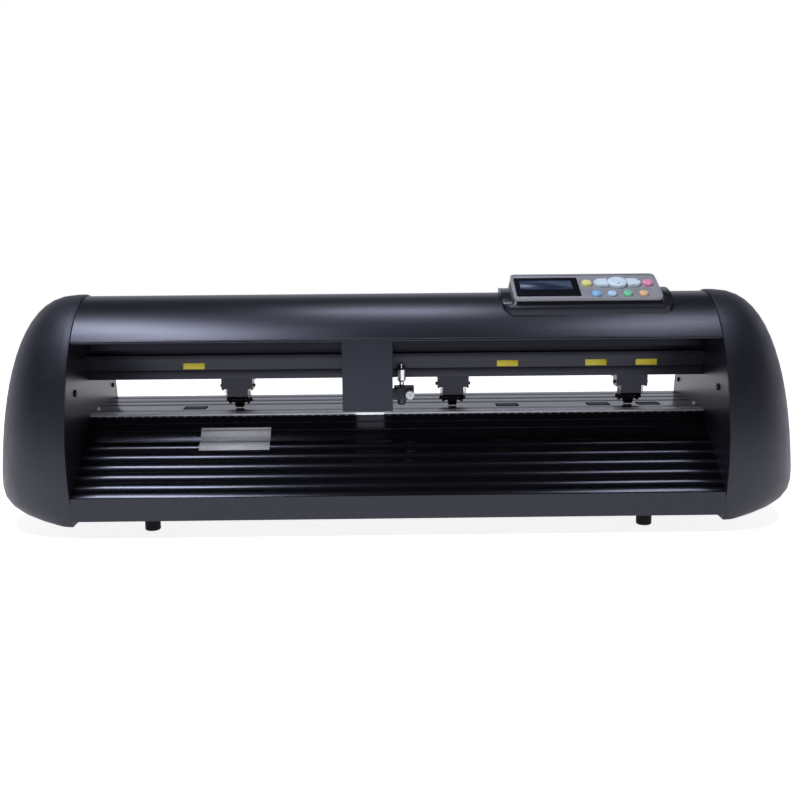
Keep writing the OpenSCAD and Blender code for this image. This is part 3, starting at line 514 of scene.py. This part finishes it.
def build_platen_edge():
    low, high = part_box("platen")
    front, top = low.y, high.z
    # Painted highlight: a pale bar where the platen's rounded front edge catches the light
    pale = moulded("pale_lip_painted_highlight", (0.82, 0.82, 0.86), 0.3, 1.5, 0.004)
    section = []
    for degrees in range(60, 256, 13):
        angle = math.radians(degrees)
        section.append((front + 0.9 * MM + LIP_RADIUS * math.cos(angle),
                        top - 1.0 * MM + LIP_RADIUS * math.sin(angle)))
    mesh = mesh_of("lip", lambda bm: add_bar(bm, low.x + MM, high.x - MM, section))
    piece("platen_lip_painted_highlight", mesh, pale, "frame")

    strip = [(x * MM, z * MM) for x, z in outline((high.x - low.x) / MM - 8, STRIP_SIZE_MM, 0.2, 2)]
    at = facing(((low.x + high.x) / 2, front, top - 3.1 * MM), (0, -1, 0))
    mesh = mesh_of("ruler_strip", lambda bm: add_plate(bm, at, strip, 0.08 * MM, 0.02 * MM))
    piece("ruler_strip", mesh, ruler_black, "frame")

    def ticks(bm):
        half = int((high.x - low.x) / 2 / TICK_PITCH) - 1
        for k in range(-half, half + 1):
            tall = 1.5 if k % 5 == 0 else 1.0
            tick = facing((k * TICK_PITCH, front - 0.08 * MM, top - (2.3 + tall / 2) * MM), (0, -1, 0))
            points = [(x * MM, z * MM) for x, z in outline(0.9, tall, 0.1, 1)]
            add_plate(bm, tick, points, 0.06 * MM, 0.02 * MM)

    piece("ruler_ticks", mesh_of("ruler_ticks", ticks), ruler_white, "frame")


# Face of the control panel
FACE_NORMAL = -direction_of("key_centre_press")
FACE_UP = FACE_NORMAL.cross(Vector((1, 0, 0)))
DISPLAY_MM = (60, 20)
DISPLAY_OFFSET_MM = (-0.8, 5.4)
# Printed marks: node, offset from the key's middle and radius in mm
KEY_MARKS = {"left": ("key_left", -5, 3.2, 0.75), "right": ("key_right", 5, 3.2, 0.75),
             "centre": ("key_centre", 0, -7.2, 1.1)}


def on_face(node, x_mm, y_mm):
    """Point on the node's outer surface at an offset over the face from the node's middle."""
    low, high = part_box(node)
    middle = (low + high) / 2 + Vector((x_mm * MM, 0, 0)) + FACE_UP * (y_mm * MM)
    return first_hit(node, middle + FACE_NORMAL * 0.02, -FACE_NORMAL)


def glow_display():
    """The lit area of the display: deep blue, brighter towards its middle line."""
    mat, tree, shader, mm = surface("display_blue", (0.01, 0.03, 0.08), 0.3)
    blend = noise(tree, stretched(tree, mm, (0.5, 2.2, 2.2)), 28, 1)
    vary_colour(tree, shader, blend, (0.005, 0.01, 0.026), (0.016, 0.045, 0.105))
    bump(tree, shader, noise(tree, mm, 2, 1), 0.0006)
    return mat


def build_panel_details():
    at = facing(on_face("lcd_window", *DISPLAY_OFFSET_MM), FACE_NORMAL, FACE_UP)
    points = [(x * MM, y * MM) for x, y in outline(*DISPLAY_MM, 0.8, 3)]
    mesh = mesh_of("display", lambda bm: add_plate(bm, at, points, 0.06 * MM, 0.02 * MM))
    piece("lcd_display", mesh, glow_display(), "frame")
    mark = printed("key_mark", (0.02, 0.022, 0.03), 0.5)
    for name, (node, x, y, size) in KEY_MARKS.items():
        spot = facing(on_face(node, x, y), FACE_NORMAL, FACE_UP)
        profile = [(0, -0.1 * MM), (size * MM, -0.1 * MM), (size * MM, 0.04 * MM),
                   (size * 0.8 * MM, 0.09 * MM), (0, 0.1 * MM)]
        mesh = mesh_of("mark", lambda bm: add_turned(bm, spot, profile, 20))
        piece("key_mark_" + name, mesh, mark, node + "_cap")


# Blank label laid over the steep top of the apron, in rows that follow its ribs
LABEL_MIDDLE_X = -0.189
LABEL_WIDTH = 0.081
LABEL_BELOW_TOP_MM = (12, 33.6)
LABEL_ROWS = 40
LABEL_UNDERSIDE_MM, LABEL_FACE_MM = 0.02, 0.14


def label_rows(top, lift):
    """Pairs of points at the label's two edges, lifted off the apron, from the top row down."""
    first, last = LABEL_BELOW_TOP_MM
    for i in range(LABEL_ROWS + 1):
        z = top - (first + (last - first) * i / LABEL_ROWS) * MM
        _, place, normal, _ = NODES["front_apron"].ray_cast(Vector((LABEL_MIDDLE_X, cad_low.y * 2, z)),
                                                            Vector((0, 1, 0)))
        spot = place + normal * lift
        yield [(LABEL_MIDDLE_X + side * LABEL_WIDTH / 2, spot.y, spot.z) for side in (-1, 1)]


def build_label():
    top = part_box("front_apron")[1].z
    stock = printed("label_stock", (0.88, 0.88, 0.9), 0.4, 4)

    def build(bm):
        under, over = ([[bm.verts.new(place) for place in row] for row in label_rows(top, lift * MM)]
                       for lift in (LABEL_UNDERSIDE_MM, LABEL_FACE_MM))
        for i in range(LABEL_ROWS):
            bm.faces.new((over[i][0], over[i][1], over[i + 1][1], over[i + 1][0]))
            bm.faces.new((under[i][0], under[i + 1][0], under[i + 1][1], under[i][1]))
            for side in (0, 1):
                bm.faces.new((under[i][side], under[i + 1][side], over[i + 1][side], over[i][side]))
        for i in (0, LABEL_ROWS):
            bm.faces.new((under[i][0], under[i][1], over[i][1], over[i][0]))

    piece("apron_label", mesh_of("apron_label", build), stock, "frame")


# Brass ends of the pinch units' pins, their return springs, and the screws of the carriage cover
def dome(radius, height):
    """Profile of a low round head that starts just inside the surface it sits on."""
    return [(0, -0.2 * MM), (radius, -0.2 * MM), (radius, height * 0.5),
            (radius * 0.7, height * 0.9), (0, height)]


def coil(bm, start, end, radius, wire, turns, sides=8):
    """A helical spring between two points, drawn as a swept wire."""
    axis = (end - start).normalized()
    u = axis.orthogonal().normalized()
    v = axis.cross(u)
    steps = turns * 14
    rings = []
    for k in range(steps + 1):
        t = k / steps
        a = 2 * math.pi * turns * t
        out = u * math.cos(a) + v * math.sin(a)
        centre = start + (end - start) * t + out * radius
        rings.append([bm.verts.new(centre + (out * math.cos(2 * math.pi * j / sides)
                                             + axis * math.sin(2 * math.pi * j / sides)) * wire)
                      for j in range(sides)])
    for low_ring, high_ring in zip(rings, rings[1:]):
        for j in range(sides):
            m = (j + 1) % sides
            bm.faces.new((low_ring[j], low_ring[m], high_ring[m], high_ring[j]))
    bm.faces.new(list(reversed(rings[0])))
    bm.faces.new(rings[-1])


def along_x(side, out_mm, y_mm=0.0, z_mm=0.0):
    """An offset in metres that is mirrored to the left or right by side."""
    return Vector((side * out_mm, y_mm, z_mm)) * MM


def build_pinch_details():
    brass = metal("brass", (0.8, 0.52, 0.2), 0.25, (1, 1, 1))
    joints = {j["name"]: j for j in frame["joints"]}
    for number in (1, 2, 3):
        pivot = Vector(joints[f"pinch_lever_lift_{number}"]["pos_m"])
        axle = Vector(joints[f"pinch_wheel_spin_{number}"]["pos_m"])
        lever = f"pinch_lever_{number}"
        for tag, side in (("left", -1), ("right", 1)):
            for kind, centre, out, radius in (("pivot", pivot, 20.5, 1.9), ("axle", axle, 15.5, 2.3)):
                at = facing(centre + along_x(side, out), (side, 0, 0))
                profile = dome(radius * MM, 0.7 * MM)
                mesh = mesh_of("pin_end", lambda bm: add_turned(bm, at, profile, 20))
                piece(f"{kind}_end_{tag}_{number}", mesh, brass, lever)
            top = pivot + along_x(side, 14.7, -1.5, -4.5)
            foot = axle + along_x(side, 14.0, -11.0, 4.5)
            mesh = mesh_of("spring", lambda bm: coil(bm, top, foot, 1.25 * MM, 0.28 * MM, 7))
            piece(f"spring_{tag}_{number}", mesh, spring_steel, lever)


def build_carriage_details():
    low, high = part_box("carriage_cover")
    for number, below_top in enumerate((44 * MM, 16 * MM), 1):
        start = (high.x + 20 * MM, (low.y + high.y) / 2, high.z - below_top)
        at = facing(first_hit("carriage_cover", start, (-1, 0, 0)), (1, 0, 0))
        profile = dome(2.2 * MM, 1.1 * MM)
        mesh = mesh_of("cover_screw", lambda bm: add_turned(bm, at, profile, 20))
        piece(f"cover_screw_{number}", mesh, spring_steel, "carriage")
    low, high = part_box("clamp_knob")
    at = facing(((low.x + high.x) / 2, low.y, (low.z + high.z) / 2), (0, -1, 0))
    profile = dome(1.2 * MM, 0.15 * MM)
    mesh = mesh_of("knob_centre", lambda bm: add_turned(bm, at, profile, 20))
    piece("knob_centre", mesh, printed("knob_mark", (0.5, 0.5, 0.52)), "clamp_screw")


spring_steel = metal("spring_steel", (0.4, 0.4, 0.43), 0.3, (1, 1, 1))
build_stickers()
build_platen_edge()
build_panel_details()
build_label()
build_pinch_details()
build_carriage_details()


# ---------- Light, floor and camera ----------

def area_light(name, place, aim, size, power, colour):
    """A rectangular soft box at a place, pointed at another."""
    data = bpy.data.lights.new(name, "AREA")
    data.shape = "RECTANGLE"
    data.size, data.size_y = size
    data.energy = power
    data.color = colour
    obj = bpy.data.objects.new(name, data)
    obj.location = place
    obj.rotation_euler = (Vector(aim) - Vector(place)).to_track_quat("-Z", "Y").to_euler()
    bpy.context.scene.collection.objects.link(obj)


def sky():
    """White to the camera; to the object a dark room with a bright floor line and backdrop."""
    world = bpy.data.worlds.new("surround")
    world.use_nodes = True
    tree = world.node_tree
    link = tree.links.new
    background = tree.nodes["Background"]
    direction = tree.nodes.new("ShaderNodeTexCoord")
    axes = tree.nodes.new("ShaderNodeSeparateXYZ")
    link(direction.outputs["Generated"], axes.inputs[0])
    behind = tree.nodes.new("ShaderNodeMapRange")
    behind.inputs["From Min"].default_value = -0.1
    behind.inputs["From Max"].default_value = 0.4
    behind.inputs["To Max"].default_value = 0.5
    link(axes.outputs["Y"], behind.inputs["Value"])
    above = add_node(tree, "ShaderNodeMath", operation="SUBTRACT")
    link(axes.outputs["Z"], above.inputs[0])
    link(behind.outputs["Result"], above.inputs[1])
    glow = tree.nodes.new("ShaderNodeMapRange")
    glow.inputs["From Min"].default_value = 0.0
    glow.inputs["From Max"].default_value = 0.18
    glow.inputs["To Min"].default_value = 0.8
    glow.inputs["To Max"].default_value = 0.03
    link(above.outputs[0], glow.inputs["Value"])
    link(glow.outputs["Result"], background.inputs["Strength"])
    background.inputs["Color"].default_value = (0.86, 0.88, 1.0, 1)
    plain = tree.nodes.new("ShaderNodeBackground")
    plain.inputs["Color"].default_value = (1, 1, 1, 1)
    path = tree.nodes.new("ShaderNodeLightPath")
    either = tree.nodes.new("ShaderNodeMixShader")
    link(path.outputs["Is Camera Ray"], either.inputs[0])
    link(background.outputs[0], either.inputs[1])
    link(plain.outputs[0], either.inputs[2])
    link(either.outputs[0], tree.nodes["World Output"].inputs["Surface"])
    bpy.context.scene.world = world


FLOOR_RADIUS = 3.2


def white_floor():
    """A round pale floor, bright enough to run into the white surround."""
    mesh = bpy.data.meshes.new("floor")
    bm = bmesh.new()
    rim = [bm.verts.new((FLOOR_RADIUS * math.cos(a), FLOOR_RADIUS * math.sin(a), 0))
           for a in (2 * math.pi * k / 64 for k in range(64))]
    bm.faces.new(rim)
    bm.to_mesh(mesh)
    bm.free()
    floor = bpy.data.objects.new("floor", mesh)
    bpy.context.scene.collection.objects.link(floor)
    mat, tree, shader, mm = surface("floor_white", (0.9, 0.9, 0.9), 0.8, specular=0.1)
    vary_colour(tree, shader, noise(tree, mm, 300), (0.89, 0.89, 0.89), (0.91, 0.91, 0.91))
    shader.inputs["Emission Color"].default_value = (1, 1, 1, 1)
    shader.inputs["Emission Strength"].default_value = 0.86
    floor.data.materials.append(mat)
    floor.location.z = -0.0005


def build_stage():
    """A pale floor, a white surround and soft studio lights."""
    sky()
    white_floor()
    cool = (0.84, 0.88, 1.02)
    area_light("left_box", (-0.55, -0.3, 1.35), (-0.2, 0, 0.15), (0.52, 0.24), 10, cool)
    area_light("right_box", (0.6, -0.22, 1.35), (0.25, 0, 0.15), (0.36, 0.24), 3.4, cool)
    area_light("middle_box", (0.02, 0.24, 1.45), (0, -0.04, 0.24), (0.38, 0.12), 3.4, cool)


# A camera in front of the machine, a little above it and left of its middle
LENS_MM = 47.0
CAMERA_PLACE = Vector((-11, -1229, 347)) * MM
PITCH_DOWN = math.radians(9.83)
YAW_RIGHT = math.radians(0.66)
ROLL = math.radians(-0.48)


def build_camera():
    data = bpy.data.cameras.new("camera")
    data.lens = LENS_MM
    data.sensor_width = 36
    data.clip_start = 0.05
    data.clip_end = 30
    camera = bpy.data.objects.new("camera", data)
    turn = (Matrix.Rotation(-YAW_RIGHT, 4, "Z") @ Matrix.Rotation(math.pi / 2 - PITCH_DOWN, 4, "X")
            @ Matrix.Rotation(ROLL, 4, "Z"))
    camera.matrix_world = Matrix.Translation(CAMERA_PLACE) @ turn
    bpy.context.scene.collection.objects.link(camera)
    bpy.context.scene.camera = camera
    bpy.context.scene.view_settings.view_transform = "Standard"


build_stage()
build_camera()
